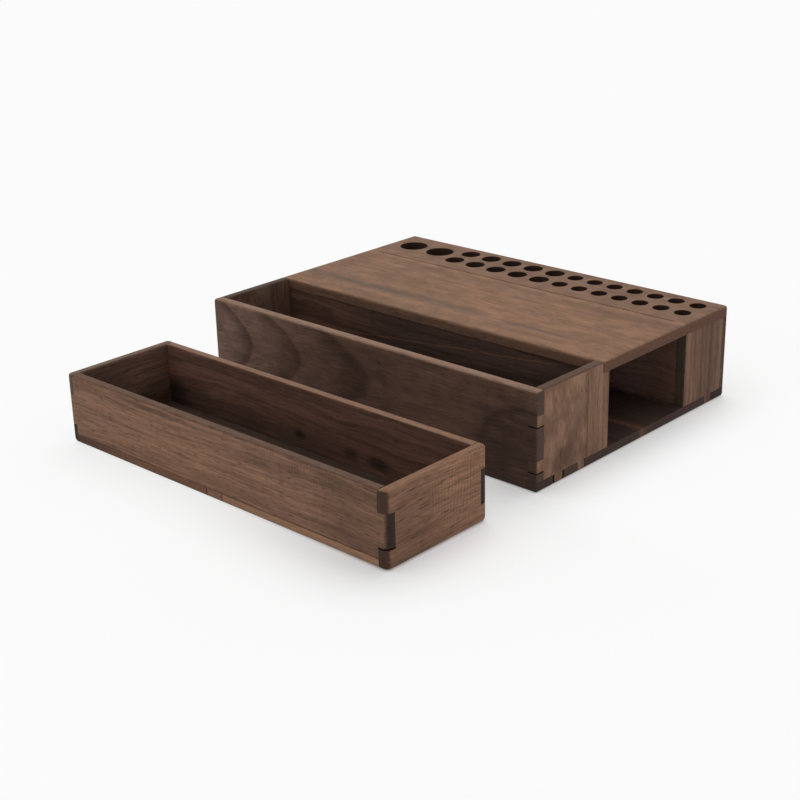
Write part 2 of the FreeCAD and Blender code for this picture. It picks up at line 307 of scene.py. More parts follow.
@cache
def ripple_effect() -> bpy.types.NodeTree:
    """Pale and dark bars across the grain, as in curly wood.

    Returns:
        A group that puts out Bars, which lie about 0.
    """
    graph = Effect("wood_ripple", ("Spacing", "Lean"), ("Bars",))
    given = graph.given
    across, down, _ = graph.parts(given["Place"])
    leant = graph.math("DIVIDE", graph.math("MULTIPLY_ADD", down, given["Lean"], across), given["Spacing"])
    turn = graph.math("MULTIPLY_ADD", graph.noise(given["Place"], *BAR_SWAY), BAR_SWING, leant)
    bars = graph.math("SINE", graph.math("MULTIPLY", turn, math.tau))
    strong = graph.fade(graph.noise(given["Place"], *BAR_NOISE), *BAR_SPAN)
    graph.put("Bars", graph.math("MULTIPLY", bars, strong))
    return graph.tree


@cache
def facing_effect() -> bpy.types.NodeTree:
    """Where a surface looks along an axis, either way. The place given is the axis' unit vector.

    Returns:
        A group that puts out Mask.
    """
    graph = Effect("facing", (), ("Mask",))
    inputs = {0: graph.node("NewGeometry").outputs["Normal"], 1: graph.given["Place"]}
    facing = graph.node("VectorMath", inputs, operation="DOT_PRODUCT").outputs["Value"]
    graph.put("Mask", graph.fade(graph.math("ABSOLUTE", facing), *FACE_SPAN))
    return graph.tree


@dataclass(frozen=True)
class Mark:
    """A feature of one board's figure, or painted shade or light on it, in mm across and down its face.

    Attributes:
        tint: what the wood's colour is multiplied by at its middle.
    """

    tint: Colour

    @staticmethod
    def outline(graph: Effect, given: bpy.types.NodeOutputs, across: Socket, down: Socket) -> Socket:
        """Where the mark lies, from 0 to 1, by its sizes and by the place across and down the face."""
        raise NotImplementedError

    @classmethod
    @cache
    def effect(cls) -> bpy.types.NodeTree:
        """Build the node group that all marks of this kind share.

        Returns:
            The group, which puts out Mask.
        """
        sizes = [cls.label(size.name) for size in fields(cls) if size.name != "tint"]
        graph = Effect("wood_" + cls.__name__.lower(), sizes, ("Mask",))
        across, down, _ = graph.parts(graph.given["Place"])
        graph.put("Mask", cls.outline(graph, graph.given, across, down))
        return graph.tree

    @staticmethod
    def label(name: str) -> str:
        """The name of the socket that stands for a size."""
        return name.replace("_", " ").title()

    def mask(self, graph: Graph, place: Socket) -> Socket:
        """The effect, placed in a material with the mark's own sizes."""
        sizes = {self.label(name): size for name, size in vars(self).items() if name != "tint"}
        return graph.group(self.effect(), {"Place": place, **sizes})["Mask"]


@dataclass(frozen=True)
class Streak(Mark):
    """A soft band across the face."""

    down: float
    half_width: float
    soft: float = 2.0
    slope: float = 0.0
    start: float = -1000.0
    end: float = 1000.0
    fade: float = 20.0
    wobble: float = 2.0

    @staticmethod
    def outline(graph: Effect, given: bpy.types.NodeOutputs, across: Socket, down: Socket) -> Socket:
        """Find where the band lies.

        Args:
            graph: the effect's graph.
            given: its inputs, which are the mark's sizes.
            across: place across the face, in mm.
            down: place down the face, in mm.

        Returns:
            1 in the band, 0 away from it.
        """
        line = graph.math("MULTIPLY_ADD", across, given["Slope"], given["Down"])
        sway = graph.sway(*STREAK_SWAY, "Wobble")
        off = graph.math("ABSOLUTE", graph.math("ADD", graph.math("SUBTRACT", down, line), sway))
        names = ("Half Width", "Soft", "Start", "End", "Fade")
        half, soft, start, end, fade = (given[name] for name in names)
        band = graph.fade(off, graph.math("SUBTRACT", half, soft), graph.math("ADD", half, soft), 1.0, 0.0)
        opens = graph.fade(across, start, graph.math("ADD", start, fade))
        closes = graph.fade(across, graph.math("SUBTRACT", end, fade), end, 1.0, 0.0)
        return graph.math("MULTIPLY", band, graph.math("MULTIPLY", opens, closes))


@dataclass(frozen=True)
class Bored(Streak):
    """A band that shows on upright faces only, such as the walls of holes bored from above."""

    @classmethod
    def effect(cls) -> bpy.types.NodeTree:
        """The streak's own node group."""
        return Streak.effect()

    def mask(self, graph: Graph, place: Socket) -> Socket:
        """The band's mask on upright faces."""
        level = graph.group(facing_effect(), {"Place": Axis.Z.unit})["Mask"]
        return graph.math("MULTIPLY", super().mask(graph, place), graph.math("SUBTRACT", 1.0, level))


@dataclass(frozen=True)
class Patch(Mark):
    """A soft oval patch with an uneven edge: a knot, a smudge, a paler spot, or painted shade in a corner.
    """

    across: float
    down: float
    wide: float
    high: float
    soft: float = 0.6
    uneven: float = 0.6

    @staticmethod
    def outline(graph: Effect, given: bpy.types.NodeOutputs, across: Socket, down: Socket) -> Socket:
        """Find where the patch lies.

        Args:
            graph: the effect's graph.
            given: its inputs, which are the mark's sizes.
            across: place across the face, in mm.
            down: place down the face, in mm.

        Returns:
            1 in the patch, 0 away from it.
        """
        wide = graph.math("DIVIDE", graph.math("SUBTRACT", across, given["Across"]), given["Wide"])
        high = graph.math("DIVIDE", graph.math("SUBTRACT", down, given["Down"]), given["High"])
        square = graph.math("MULTIPLY_ADD", wide, wide, graph.math("MULTIPLY", high, high))
        ragged = graph.math("MULTIPLY", graph.sway(*PATCH_SWAY, "Uneven"), 2.0)
        reach = graph.math("ADD", graph.math("SQRT", square), ragged)
        inner, outer = (graph.math(word, 1.0, given["Soft"]) for word in ("SUBTRACT", "ADD"))
        return graph.fade(reach, inner, outer, 1.0, 0.0)


@dataclass(frozen=True)
class Arch(Mark):
    """One arch of a flat-sawn board: a line bent about its tip, with a long shade on its inside."""

    tip: float
    down: float
    bend: float
    inside: float = 20.0
    outside: float = 4.0
    wobble: float = 4.0

    @staticmethod
    def outline(graph: Effect, given: bpy.types.NodeOutputs, across: Socket, down: Socket) -> Socket:
        """Find where the arch lies.

        Args:
            graph: the effect's graph.
            given: its inputs, which are the mark's sizes.
            across: place across the face, in mm.
            down: place down the face, in mm.

        Returns:
            1 at the arch's line, 0 away from it.
        """
        rise = graph.math("SUBTRACT", down, given["Down"])
        bent = graph.math("MULTIPLY", graph.math("MULTIPLY", rise, rise), given["Bend"])
        swayed = graph.math("ADD", graph.math("ADD", across, bent), graph.sway(*ARCH_SWAY, "Wobble"))
        off = graph.math("SUBTRACT", swayed, given["Tip"])
        inner = graph.fade(off, graph.math("MULTIPLY", given["Inside"], -1.0), 0.0)
        outer = graph.fade(off, 0.0, given["Outside"], 1.0, 0.0)
        return graph.math("MULTIPLY", graph.math("POWER", inner, ARCH_POWER), outer)


@dataclass(frozen=True)
class Ripple:
    """Curly figure: bars across the grain, inside an oval of the face.

    Attributes:
        strength: how much the bars lighten and darken the wood.
        spacing: distance between two bars, in mm.
        inside: the oval, whose tint isn't used.
        lean: how far the bars lean, as a share of their height.
    """

    strength: float
    spacing: float
    inside: Patch
    lean: float = 0.0


@dataclass(frozen=True)
class WalnutFinish:
    """Oiled walnut, as one board shows it.

    Attributes:
        slot: the record's material slot, which is not used.
        tone: mean colour of the figured face.
        edge: colour of the narrow faces along the grain.
        end: colour of the end grain.
        lay: how the figure lies on the board.
        contrast: how far the palest and the deepest wood lie from the mean, as a share of it.
        bands: how strong the broad bands are.
        lines: how strong the lines along the grain are.
        mottle: how strong the blotches are.
        rings: how strong the year rings are.
        fibre: how strong the fibres are.
        pores: how strong the pores are.
        ring_width: width of a year ring, in mm.
        wave: how far the figure sways, in mm.
        seed: place in the noise, so that no two boards are alike.
        marks: features of the figure, and on some boards painted shade and light.
        ripples: curly figure.
        over: marks that lie on the edges and the end grain too.
        gloss: roughness of the oiled surface.
        gloss_swing: how much rougher the palest fibres are.
        specular: strength of the oil's gloss.
        relief: strength of the fibres' and pores' relief.
        relief_depth: its depth.
    """

    slot: str
    tone: Colour
    edge: Colour
    end: Colour
    lay: Lay = Lay.LONG
    contrast: float = 0.24
    bands: float = 0.6
    lines: float = 0.6
    mottle: float = 0.2
    rings: float = 0.2
    fibre: float = 0.34
    pores: float = 0.3
    ring_width: float = 6.0
    wave: float = 5.0
    seed: float = 0.0
    marks: tuple[Mark, ...] = ()
    ripples: tuple[Ripple, ...] = ()
    over: tuple[Mark, ...] = ()
    gloss: float = 0.6
    gloss_swing: float = 0.12
    specular: float = 0.12
    relief: float = 0.35
    relief_depth: float = 0.08 * MM

    def _shade(self, amount: float) -> Colour:
        """The mean colour, made paler or deeper."""
        red, green, blue = (part * (1.0 + amount) for part in self.tone)
        return red, green, blue

    def _marked(self, graph: Graph, place: Socket, colour: Socket, marks: Sequence[Mark]) -> Socket:
        """Lay the tints of some marks over a colour.

        Args:
            graph: the material's graph.
            place: place on the face.
            colour: the colour to tint.
            marks: the marks.

        Returns:
            The tinted colour.
        """
        for mark in marks:
            colour = graph.blend(mark.mask(graph, place), colour, mark.tint, "MULTIPLY")
        return colour

    def _figure(self, graph: Graph, place: Socket, wood: bpy.types.NodeOutputs) -> Socket:
        """Mix the figured face's colour before its fibres: bands, lines, blotches, rings and marks.

        Args:
            graph: the material's graph.
            place: place on the face.
            wood: outputs of the fibre effect.

        Returns:
            The colour.
        """
        shares = {"Bands": self.bands, "Lines": self.lines, "Mottle": self.mottle, "Rings": self.rings}
        tone: Any = 0.5 - sum(shares.values()) / 2
        for name, share in shares.items():
            tone = graph.math("MULTIPLY_ADD", wood[name], share, tone, clamp=name == "Rings")
        colour = graph.blend(tone, self._shade(self.contrast), self._shade(-self.contrast))
        return self._marked(graph, place, colour, self.marks)

    def _light(self, graph: Graph, place: Socket, wood: bpy.types.NodeOutputs) -> Socket:
        """Add up the light and shade of fibres, pores and ripples.

        Args:
            graph: the material's graph.
            place: place on the face.
            wood: outputs of the fibre effect.

        Returns:
            What the colour is multiplied by.
        """
        light = graph.math("MULTIPLY_ADD", wood["Fibre"], self.fibre, 1.0 - self.fibre / 2)
        for ripple in self.ripples:
            inputs = {"Place": place, "Spacing": ripple.spacing, "Lean": ripple.lean}
            bars = graph.group(ripple_effect(), inputs)["Bars"]
            bars = graph.math("MULTIPLY", bars, ripple.inside.mask(graph, place))
            light = graph.math("MULTIPLY_ADD", bars, ripple.strength, light)
        return graph.math("MULTIPLY_ADD", wood["Pores"], -self.pores, light)

    def _places(self, graph: Graph, node: str) -> tuple[Socket, Socket]:
        """Measure places in mm from the corner of a node's box where the figure begins.

        Args:
            graph: the material's graph.
            node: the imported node.

        Returns:
            The place across, down and into the board, and the same with the grain's measure first.
        """
        across, down, grain = self.lay.value
        low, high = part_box(node)
        origin = Vector(low)
        for side in (across, down):
            if side.sign < 0:
                origin[side.axis.value] = high[side.axis.value]
        seen = graph.node("TexCoord").outputs["Object"]
        inputs = {"Vector": seen, "Location": -origin / MM, "Scale": (1 / MM, 1 / MM, 1 / MM)}
        apart = graph.parts(graph.node("Mapping", inputs).outputs[0])
        first, second = (graph.math("MULTIPLY", apart[side.axis.value], float(side.sign))
                         for side in (across, down))
        depth = apart[next(axis.value for axis in Axis if axis not in (across.axis, down.axis))]
        place = graph.vector(first, second, depth)
        return place, graph.vector(second, first, depth) if grain == down.axis else place

    def material(self, node: str) -> bpy.types.Material:
        """Build the material of one board.

        Args:
            node: the board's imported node.

        Returns:
            The material.
        """
        made = bpy.data.materials.new("wood_of_" + node)
        graph = Graph.of(made)
        across, down, grain = self.lay.value
        place, along = self._places(graph, node)
        wood = graph.group(fibre_effect(), {"Place": along, "Seed": self.seed, "Ring Width": self.ring_width,
                                            "Wave": self.wave})
        narrow = across.axis if grain == down.axis else down.axis
        colour = self._figure(graph, place, wood)
        for axis, other in ((narrow, self.edge), (grain, self.end)):
            colour = graph.blend(graph.group(facing_effect(), {"Place": axis.unit})["Mask"], colour, other)
        colour = self._marked(graph, place, colour, self.over)
        colour = graph.blend(1.0, colour, self._light(graph, place, wood), "MULTIPLY")
        rough = graph.math("MULTIPLY_ADD", wood["Fibre"], self.gloss_swing, self.gloss)
        bump = graph.node("Bump", {"Strength": self.relief, "Distance": self.relief_depth,
                                   "Height": wood["Height"]}).outputs[0]
        shader = graph.node("BsdfPrincipled", {"Base Color": colour, "Roughness": rough, "Normal": bump,
                                               "Specular IOR Level": self.specular})
        graph.node("OutputMaterial", {"Surface": shader.outputs[0]})
        return made


# The finishes of the boards. Some of their marks, and the darker copies for faces in shade, are painted
# shade and light. Their marks are in mm from the upper left corner of the seen face.


def wash(tint: Colour, start: float, fade: float, end: float = 1000.0) -> Streak:
    """A tint over the whole height of a face, between two places across it."""
    return Streak(tint, down=0.0, half_width=200.0, start=start, end=end, fade=fade)


def open_gap(down: float, half_width: float = 0.5, fade: float = 0.4, **reach: float) -> Streak:
    """The dark line of an open gap in a corner joint."""
    return Streak(GAP_TINT, down, half_width, soft=0.2, fade=fade, wobble=0.0, **reach)


GAP_TINT = (0.12, 0.12, 0.12)   # the dark inside of an open gap
PIN_GAPS = (23.8, 54.9)     # places down the case's corner of the gaps under its pins

ROSY_TOP = WalnutFinish(
    "top_walnut", tone=(0.211, 0.113, 0.066), edge=(0.19, 0.105, 0.068), end=(0.134, 0.067, 0.044),
    lay=Lay.FLAT, contrast=0.19, bands=0.35, lines=0.4, mottle=0.8, rings=0.05, fibre=0.44, pores=0.32,
    ring_width=5.0, seed=11.0,
    marks=(Streak((0.85, 0.87, 0.92), 24, 26, soft=3),
           Streak((0.76, 0.70, 0.72), 53, 0.9, soft=0.8, start=4, end=292, fade=4, wobble=0.6),
           Streak((1.08, 1.08, 1.07), 57.5, 2, soft=1.6),
           Streak((0.90, 0.90, 0.91), 65, 5, soft=4, wobble=4),
           Patch((0.89, 0.88, 0.90), 262, 69, 46, 8),
           Patch((0.94, 0.93, 0.91), 105, 88, 45, 30),
           Patch((1.07, 1.05, 1.01), 220, 97, 75, 28),
           Streak((0.65, 0.73, 0.85), 123.5, 5, soft=5, slope=0.01, end=215, fade=90, wobble=10),
           Streak((0.65, 0.72, 0.84), 127.5, 2.2, soft=2.6, start=185, end=268, fade=24, wobble=3),
           Streak((0.90, 0.88, 0.89), 132, 0.8, soft=1.4, start=235, fade=25)),
    over=(Bored((0.28, 0.29, 0.32), 23, 27, soft=1, start=3, end=297, fade=1, wobble=0),))

GREY_FRONT = WalnutFinish(
    "case_front_walnut", tone=(0.208, 0.124, 0.091), edge=(0.232, 0.140, 0.096), end=(0.088, 0.053, 0.039),
    contrast=0.22, bands=0.4, lines=0.45, mottle=0.8, rings=0.05, fibre=0.42, pores=0.34, seed=23.0,
    # The two washes darken the face towards the right: partly the board's own tone, partly painted shade
    # behind the drawer.
    marks=(wash((0.76, 0.73, 0.71), 25, 45),
           wash((0.74, 0.72, 0.69), 75, 60),
           Arch((0.54, 0.52, 0.50), 38, 29, 0.036, inside=22, outside=3.6),
           Arch((0.56, 0.54, 0.52), 87, 28, 0.042, inside=30, outside=5.5),
           Arch((0.56, 0.54, 0.52), 152, 28, 0.052, inside=38, outside=9),
           Patch((0.60, 0.60, 0.60), 293, 44, 39.5, 31, soft=0.07, uneven=0.06),
           Patch((1.50, 1.50, 1.50), 294, 45, 36.5, 28, soft=0.12, uneven=0.06),
           Patch((1.12, 1.12, 1.12), 222, 30, 32, 34),
           Patch((1.12, 1.14, 1.12), 62, 27, 20, 28),
           Patch((0.62, 0.63, 0.66), 292, 42, 40, 30, soft=0.7)),
    over=tuple(open_gap(down, start=292.5, fade=0.5) for down in PIN_GAPS))

# The rear board keeps the front's marks, the painted shade of the washes too.
GREY_REAR = replace(GREY_FRONT, end=(0.090, 0.053, 0.039), lay=Lay.LONG_REAR, seed=29.0, over=())

TAN_END = WalnutFinish(
    "end_walnut", tone=(0.234, 0.131, 0.084), edge=(0.15, 0.088, 0.06), end=(0.095, 0.056, 0.041),
    lay=Lay.CASE_END, bands=0.9, lines=0.9, fibre=0.44, wave=2.0, seed=37.0)

MOTTLED_END = WalnutFinish(
    "end_walnut", tone=(0.232, 0.128, 0.082), edge=(0.075, 0.045, 0.033), end=(0.088, 0.046, 0.030),
    lay=Lay.CASE_END, bands=0.05, lines=0.1, mottle=1.3, rings=0.0, fibre=0.17, wave=8.0, seed=41.0,
    marks=(Patch((1.20, 1.26, 1.18), 39, 7, 9, 6),
           Patch((1.10, 1.12, 1.10), 11, 15, 4, 14),
           Patch((0.80, 0.85, 0.90), 46, 22, 5, 14),
           Patch((0.76, 0.76, 0.79), 33, 53, 14, 8, uneven=0.3),
           Patch((0.84, 0.82, 0.82), 52.5, 30, 2.6, 200, soft=0.5, uneven=0),
           Patch((0.66, 0.65, 0.66), 53, 30, 0.8, 200, soft=0.5, uneven=0)),
    over=tuple(open_gap(down, end=7.2) for down in PIN_GAPS))

STREAKED_END = WalnutFinish(
    "end_walnut", tone=(0.182, 0.099, 0.065), edge=(0.075, 0.052, 0.037), end=(0.12, 0.076, 0.058),
    lay=Lay.CASE_END, bands=0.9, lines=0.9, fibre=0.42, wave=2.0, seed=47.0,
    marks=(Patch((1.12, 1.12, 1.10), 9, 30, 7, 70),
           Patch((0.78, 0.80, 0.82), 29, 30, 11, 70),
           Patch((0.60, 0.62, 0.66), 52, 30, 5, 120, soft=0.1, uneven=0)))

# Darker copies for the left end, whose inner faces look into the tray: their lower tones are painted shade.
SHADED_LEFT_TAN = replace(TAN_END, tone=(0.125, 0.072, 0.049), end=(0.06, 0.037, 0.028))

SHADED_LEFT_MOTTLED = replace(MOTTLED_END, tone=SHADED_LEFT_TAN.tone, edge=(0.16, 0.10, 0.075), end=SHADED_LEFT_TAN.end, over=())

INNER_DARK = WalnutFinish(
    "inner_walnut", tone=(0.145, 0.080, 0.055), edge=(0.05, 0.03, 0.022), end=(0.05, 0.03, 0.022),
    contrast=0.3, bands=0.9, lines=0.8, fibre=0.4, seed=53.0,
    # The first wash is painted shade: the top board's overhang shades the right part of the wall.
    marks=(wash((0.56, 0.62, 0.70), 40, 75),
           Streak((1.85, 1.65, 1.45), 27.5, 0.6, soft=0.5, slope=-0.095, start=60, end=268)))

# The tunnel's rear wall: its wash is painted light that lightens it towards the open right mouth.
TUNNEL_DARK = replace(INNER_DARK, tone=(0.150, 0.083, 0.059), contrast=0.16, bands=0.5, seed=59.0,
                      marks=(wash((1.5, 1.6, 1.9), 150, 30, end=275),))

PURPLE_BOTTOM = WalnutFinish(
    "bottom_walnut", tone=(0.050, 0.031, 0.025), edge=(0.068, 0.041, 0.032), end=(0.064, 0.039, 0.032),
    lay=Lay.FLAT, contrast=0.2, fibre=0.36, seed=61.0)

FRONT_STAVE = replace(PURPLE_BOTTOM, over=(
    Streak((2.3, 1.9, 1.6), 2.6, 2.6, start=150, fade=130, wobble=1.5),
    Streak((0.85, 0.85, 0.85), 110, 9, soft=0.4, start=290, fade=1, wobble=0),
    Streak((1.35, 1.25, 1.15), 83, 6.5, soft=0.4, start=290, fade=1, wobble=0)))

REAR_STAVE = replace(PURPLE_BOTTOM, seed=67.0, over=(
    Streak((1.45, 1.35, 1.2), 100.2, 2.4, soft=0.8, wobble=1),
    # Painted highlight: a bright line along the foot of the tunnel's rear wall, near the right mouth.
    Streak((3.2, 3.4, 3.7), 55, 0.9, soft=0.6, start=225, end=299, fade=25, wobble=0.4),
    Streak((0.5, 0.5, 0.5), 8.5, 9.5, soft=0.4, start=290, fade=1, wobble=0)))

DRAWER_FRONT = WalnutFinish(
    "drawer_walnut", tone=(0.253, 0.139, 0.089), edge=(0.116, 0.063, 0.041), end=(0.040, 0.024, 0.019),
    bands=0.5, lines=0.8, rings=0.10, fibre=0.46, pores=0.5, ring_width=4.0, wave=2.4, seed=71.0,
    marks=(Streak((0.72, 0.74, 0.76), 35.5, 1, soft=1.4, start=190, fade=40),
           Streak((1.10, 1.09, 1.07), 13.5, 1.2, soft=1.4, start=5, end=110),
           Streak((0.42, 0.41, 0.41), 42.9, 0.35, soft=0.5, wobble=0.6),
           Patch((0.62, 0.62, 0.65), 92, 3.6, 34, 1.7),
           Patch((0.86, 0.86, 0.88), 225, 8, 60, 9),
           wash((0.80, 0.80, 0.80), 228, 30),
           Patch((1.14, 1.12, 1.08), 112, 30, 50, 22)),
    ripples=(Ripple(0.10, 2.6, Patch(WHITE, 230, 4, 58, 9)),),
    over=(open_gap(36.3, start=289.5, fade=0.5),))

DRAWER_END = WalnutFinish(
    "drawer_walnut", tone=(0.274, 0.145, 0.089), edge=(0.215, 0.113, 0.066), end=(0.068, 0.038, 0.027),
    lay=Lay.DRAWER_END, bands=0.4, rings=0.10, fibre=0.42, pores=0.5, ring_width=4.0, wave=2.4, seed=83.0,
    marks=(Patch((0.74, 0.75, 0.77), 18, 30, 26, 34),
           Patch((0.46, 0.44, 0.43), 0, 25, 2.8, 400, soft=0.4, uneven=0)),
    ripples=(Ripple(0.16, 2.8, Patch(WHITE, 64, 18, 27, 26), lean=0.06),),
    over=(open_gap(36.4, 0.6, end=7.2), open_gap(36.4, 0.6, start=81.8)))

# A darker copy of the right end for the drawer's left end: its tone is painted shade on the inner face, and
# the second patch painted shade in the lower rear corner.
SHADED_DRAWER_LEFT = replace(
    DRAWER_END, tone=(0.144, 0.080, 0.057), edge=(0.14, 0.085, 0.058), end=(0.14, 0.085, 0.060), ripples=(),
    marks=(DRAWER_END.marks[0], Patch((0.45, 0.43, 0.42), 72, 46, 42, 17)),
    over=(Streak((0.35, 0.35, 0.36), 44, 7.4, soft=0.2, end=7.2, fade=0.4, wobble=0),))

DRAWER_REAR = WalnutFinish(
    "drawer_walnut", tone=(0.159, 0.085, 0.060), edge=(0.21, 0.118, 0.074), end=(0.040, 0.024, 0.019),
    contrast=0.28, bands=0.8, lines=0.8, fibre=0.4, seed=97.0,
    # Painted shade: the first streak darkens the inner face along the floor, and the first patch its lower
    # left corner.
    marks=(Streak((0.55, 0.60, 0.63), 42, 14, soft=10, end=260, fade=120),
           Patch((0.40, 0.42, 0.44), 10, 38, 16, 12),
           Patch((1.22, 1.22, 1.22), 52, 22, 34, 24),
           Patch((0.42, 0.42, 0.44), 141, 33.5, 5, 3),
           Patch((0.55, 0.55, 0.57), 188, 35, 6, 3.4),
           Patch((0.38, 0.38, 0.40), 213, 34.5, 9, 4.4)))

DRAWER_FLOOR = WalnutFinish(
    "drawer_walnut", tone=(0.06, 0.035, 0.025), edge=(0.378, 0.209, 0.124), end=(0.072, 0.042, 0.030),
    lay=Lay.FLAT, contrast=0.2, seed=101.0,
    over=(Streak((0.54, 0.50, 0.50), 89, 5, soft=1, end=145, fade=6),
          Streak((0.50, 0.50, 0.52), 86.4, 1.9, soft=0.5, end=145, fade=6, wobble=0),
          Streak((0.55, 0.55, 0.57), 89, 5, soft=1, end=55, fade=45)))


# Modelling


def near(place: float, *levels: float) -> bool:
    """Whether a place is at one of some levels."""
    return any(abs(place - level) < TOUCH for level in levels)


def between(spans: Sequence[Span]) -> list[Span]:
    """What some spans leave free, out to far beyond any board."""
    places = [-FAR, *(end for span in spans for end in span), FAR]
    return list(zip(places[::2], places[1::2]))


def select_only(*pieces: bpy.types.Object) -> None:
    """Select some objects and no others, and make the first of them the active one.

    Args:
        pieces: the objects.
    """
    bpy.ops.object.select_all(action="DESELECT")
    for piece in pieces:
        piece.select_set(True)
    bpy.context.view_layer.objects.active = pieces[0]


def edit(piece: bpy.types.Object) -> None:
    """Go into edit mode with all of an object's faces selected.

    Args:
        piece: the object.
    """
    select_only(piece)
    bpy.ops.object.mode_set(mode="EDIT")
    bpy.ops.mesh.select_mode(type="FACE")
    bpy.ops.mesh.select_all(action="SELECT")


def select_faces(piece: bpy.types.Object, chosen: Callable[[bmesh.types.BMFace], bool]) -> None:
    """Select the faces that pass a test, and no others, in edit mode.

    Args:
        piece: the object.
        chosen: the test.
    """
    bpy.ops.mesh.select_all(action="DESELECT")
    for face in bmesh.from_edit_mesh(piece.data).faces:
        face.select = chosen(face)
    bmesh.update_edit_mesh(piece.data)


def extrude(x: float, y: float, z: float) -> None:
    """Extrude the selected faces, in edit mode."""
    bpy.ops.mesh.extrude_region_move(TRANSFORM_OT_translate={"value": (x, y, z)})


def apply_modifier(piece: bpy.types.Object, kind: str, **settings: Any) -> None:
    """Add a modifier to an object and apply it.

    Args:
        piece: the object to change.
        kind: the modifier's type.
        settings: its properties.
    """
    select_only(piece)
    modifier = piece.modifiers.new(kind.lower(), kind)
    for name, value in settings.items():
        setattr(modifier, name, value)
    bpy.ops.object.modifier_apply(modifier=modifier.name)


def add_slab(*spans: Span) -> bpy.types.Object:
    """Add a slab that fills one span along each axis.

    Args:
        spans: where it begins and ends along X, Y and Z.

    Returns:
        Its object.
    """
    low, high = (Vector(corner) for corner in zip(*spans))
    bpy.ops.object.select_all(action="DESELECT")
    bpy.ops.mesh.primitive_cube_add(size=1, location=(low + high) / 2, scale=high - low)
    bpy.ops.object.transform_apply(location=True, rotation=True, scale=True)
    return bpy.context.object


@dataclass(frozen=True)
class Pull:
    """Fingers, pins or tabs that are pulled out of one side of a slab.

    Attributes:
        side: the side to pull.
        distance: how far.
        along: the axis that the spans are measured on.
        spans: where the pulled parts begin and end.
    """

    side: Side
    distance: float
    along: Axis
    spans: Sequence[Span]


@dataclass
class Board:
    """One board, modelled as a slab whose fingers, pins and tabs are pulled out of its sides.

    Attributes:
        node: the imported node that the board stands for.
        x: where the slab begins and ends along X.
        y: the same along Y.
        z: the same along Z.
        finish: its wood.
        pulls: what is pulled out of it, in order.
        piece: its object.
    """

    node: str
    x: Span
    y: Span
    z: Span
    finish: WalnutFinish
    pulls: Sequence[Pull] = ()
    piece: bpy.types.Object = field(init=False)

    def model(self) -> None:
        """Add the slab and pull its fingers, pins and tabs out of it."""
        self.piece = add_slab(self.x, self.y, self.z)
        self.piece.name = self.piece.data.name = "walnut_" + self.node
        for pull in self.pulls:
            self._pull(pull)

    def _pull(self, pull: Pull) -> None:
        """Split the slab where the spans end, then pull the faces between those lines.

        Args:
            pull: what to pull out of the slab.
        """
        axis = pull.side.axis.value
        level = (self.x, self.y, self.z)[axis][pull.side.sign > 0]

        def chosen(face: bmesh.types.BMFace) -> bool:
            """Test a face for the pull.

            Args:
                face: the face.

            Returns:
                Whether it lies on the side, inside one of the spans.
            """
            centre = face.calc_center_median()
            at_side = near(centre[axis], level) and face.normal.dot(pull.side.outward) > FACING
            return at_side and any(low < centre[pull.along.value] < high for low, high in pull.spans)

        edit(self.piece)
        for place in sorted({end for span in pull.spans for end in span if abs(end) < FAR}):
            bpy.ops.mesh.select_all(action="SELECT")
            bpy.ops.mesh.bisect(plane_co=pull.along.unit * place, plane_no=pull.along.unit)
        select_faces(self.piece, chosen)
        extrude(*(pull.side.outward * pull.distance))
        bpy.ops.object.mode_set(mode="OBJECT")

    def round_arrises(self, radius_at: Callable[[Vector], float], joint_radius: float,
                      segments: int) -> None:
        """Round the outer edges of the board, then ease all edges that are still square.

        Args:
            radius_at: gives the radius for the middle of an outer edge, and 0 for any other.
            joint_radius: radius of the easing.
            segments: faces across each rounding.
        """
        edit(self.piece)
        bpy.ops.mesh.remove_doubles(threshold=MERGE)
        bpy.ops.mesh.dissolve_limited(angle_limit=FLAT_ANGLE)
        bpy.ops.mesh.normals_make_consistent(inside=False)
        mesh = bmesh.from_edit_mesh(self.piece.data)
        weight = mesh.edges.layers.float.new("bevel_weight_edge")
        radii = {edge: radius_at((edge.verts[0].co + edge.verts[1].co) / 2)
                 for edge in mesh.edges if edge.is_convex}
        widest = max(radii.values())
        for edge, radius in radii.items():
            edge[weight] = radius / widest if widest else 0.0
        bmesh.update_edit_mesh(self.piece.data)
        bpy.ops.object.mode_set(mode="OBJECT")
        if widest:
            apply_modifier(self.piece, "BEVEL", width=widest, segments=segments, limit_method="WEIGHT",
                           use_clamp_overlap=False)
        apply_modifier(self.piece, "BEVEL", width=joint_radius, segments=EASE_SEGMENTS, limit_method="ANGLE",
                       angle_limit=SQUARE_ANGLE, use_clamp_overlap=False)

    def cut(self, cutters: Sequence[bpy.types.Object]) -> None:
        """Take the shapes of closed meshes out of the board and delete them.

        Args:
            cutters: the meshes.
        """
        select_only(*cutters)
        bpy.ops.object.join()
        apply_modifier(self.piece, "BOOLEAN", operation="DIFFERENCE", solver="EXACT", object=cutters[0])
        bpy.data.objects.remove(cutters[0])

    def smooth(self) -> None:
        """Shade the roundings smooth and keep the flat faces flat."""
        select_only(self.piece)
        bpy.ops.object.shade_smooth_by_angle(angle=SMOOTH_ANGLE)
        apply_modifier(self.piece, "WEIGHTED_NORMAL", keep_sharp=True)


# The object


class HoleSize(Enum):
    """Diameters of the pen holes, by the word in the names of their openings."""

    large = 22.0 * MM
    medium = 15.0 * MM
    small = 12.0 * MM


